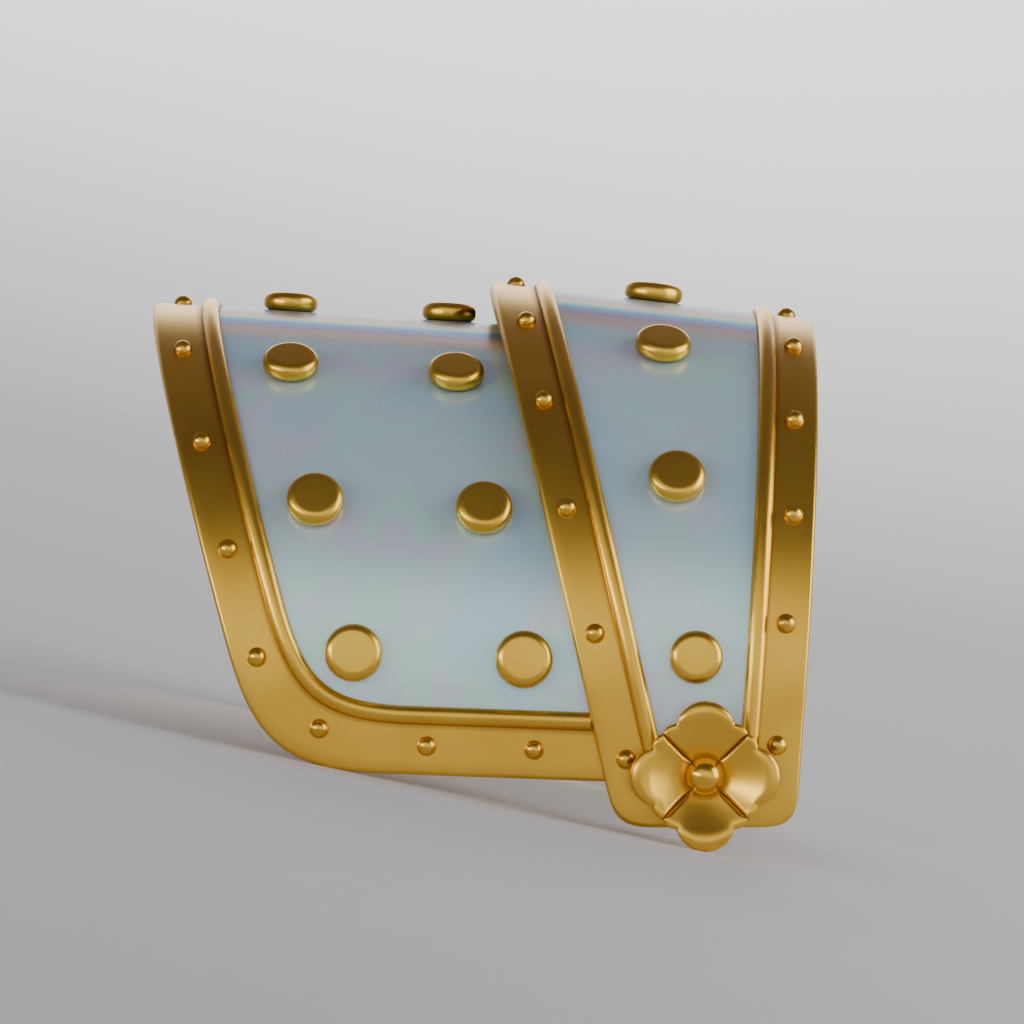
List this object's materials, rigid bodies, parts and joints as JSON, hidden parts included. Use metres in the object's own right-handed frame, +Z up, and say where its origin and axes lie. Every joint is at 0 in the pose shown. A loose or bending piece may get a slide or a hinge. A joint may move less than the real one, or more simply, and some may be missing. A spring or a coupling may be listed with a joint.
{
  "type": "pauldron",
  "caption": "Arched shoulder guard of two lapped plates with pearl-faced panels, gilt borders, beads, round studs and a four-petalled rosette at each lower end.",
  "frame": {"origin": "middle of the base of the guard's bounding box, on the surface that it rests on", "axes": "+X towards the wearer's neck, +Y from the front of the shoulder to the back, +Z up; the guard stands on its two rosettes and the two lower corners of its outer plate"},
  "size_m": [0.2052, 0.2468, 0.1529],
  "materials": {
    "pearl_panel": "glossy iridescent pearl face",
    "gilt_border": "satin gilt",
    "gilt_bead": "satin gilt",
    "gilt_stud": "satin gilt",
    "gilt_rosette": "satin gilt, cast",
    "gilt_boss": "polished gilt",
    "pin_metal": "plain metal"
  },
  "bodies": {
    "root": {"outer_plate": "pearl_panel", "inner_plate": "pearl_panel", "outer_trim": "gilt_border", "inner_trim": "gilt_border", "outer_bead": "gilt_bead", "inner_bead_arm": "gilt_bead", "inner_bead_neck": "gilt_bead", "stud_outer_arm_0_ridge": "gilt_stud", "stud_outer_arm_1_front": "gilt_stud", "stud_outer_arm_1_back": "gilt_stud", "stud_outer_arm_2_front": "gilt_stud", "stud_outer_arm_2_back": "gilt_stud", "stud_outer_arm_3_front": "gilt_stud", "stud_outer_arm_3_back": "gilt_stud", "stud_outer_neck_0_ridge": "gilt_stud", "stud_outer_neck_1_front": "gilt_stud", "stud_outer_neck_1_back": "gilt_stud", "stud_outer_neck_2_front": "gilt_stud", "stud_outer_neck_2_back": "gilt_stud", "stud_outer_neck_3_front": "gilt_stud", "stud_outer_neck_3_back": "gilt_stud", "stud_inner_0_ridge": "gilt_stud", "stud_inner_1_front": "gilt_stud", "stud_inner_1_back": "gilt_stud", "stud_inner_2_front": "gilt_stud", "stud_inner_2_back": "gilt_stud", "stud_inner_3_front": "gilt_stud", "stud_inner_3_back": "gilt_stud", "rosette_front": "gilt_rosette", "rosette_boss_front": "gilt_boss", "pin_front": "pin_metal", "rosette_back": "gilt_rosette", "rosette_boss_back": "gilt_boss", "pin_back": "pin_metal"}
  },
  "joints": []
}
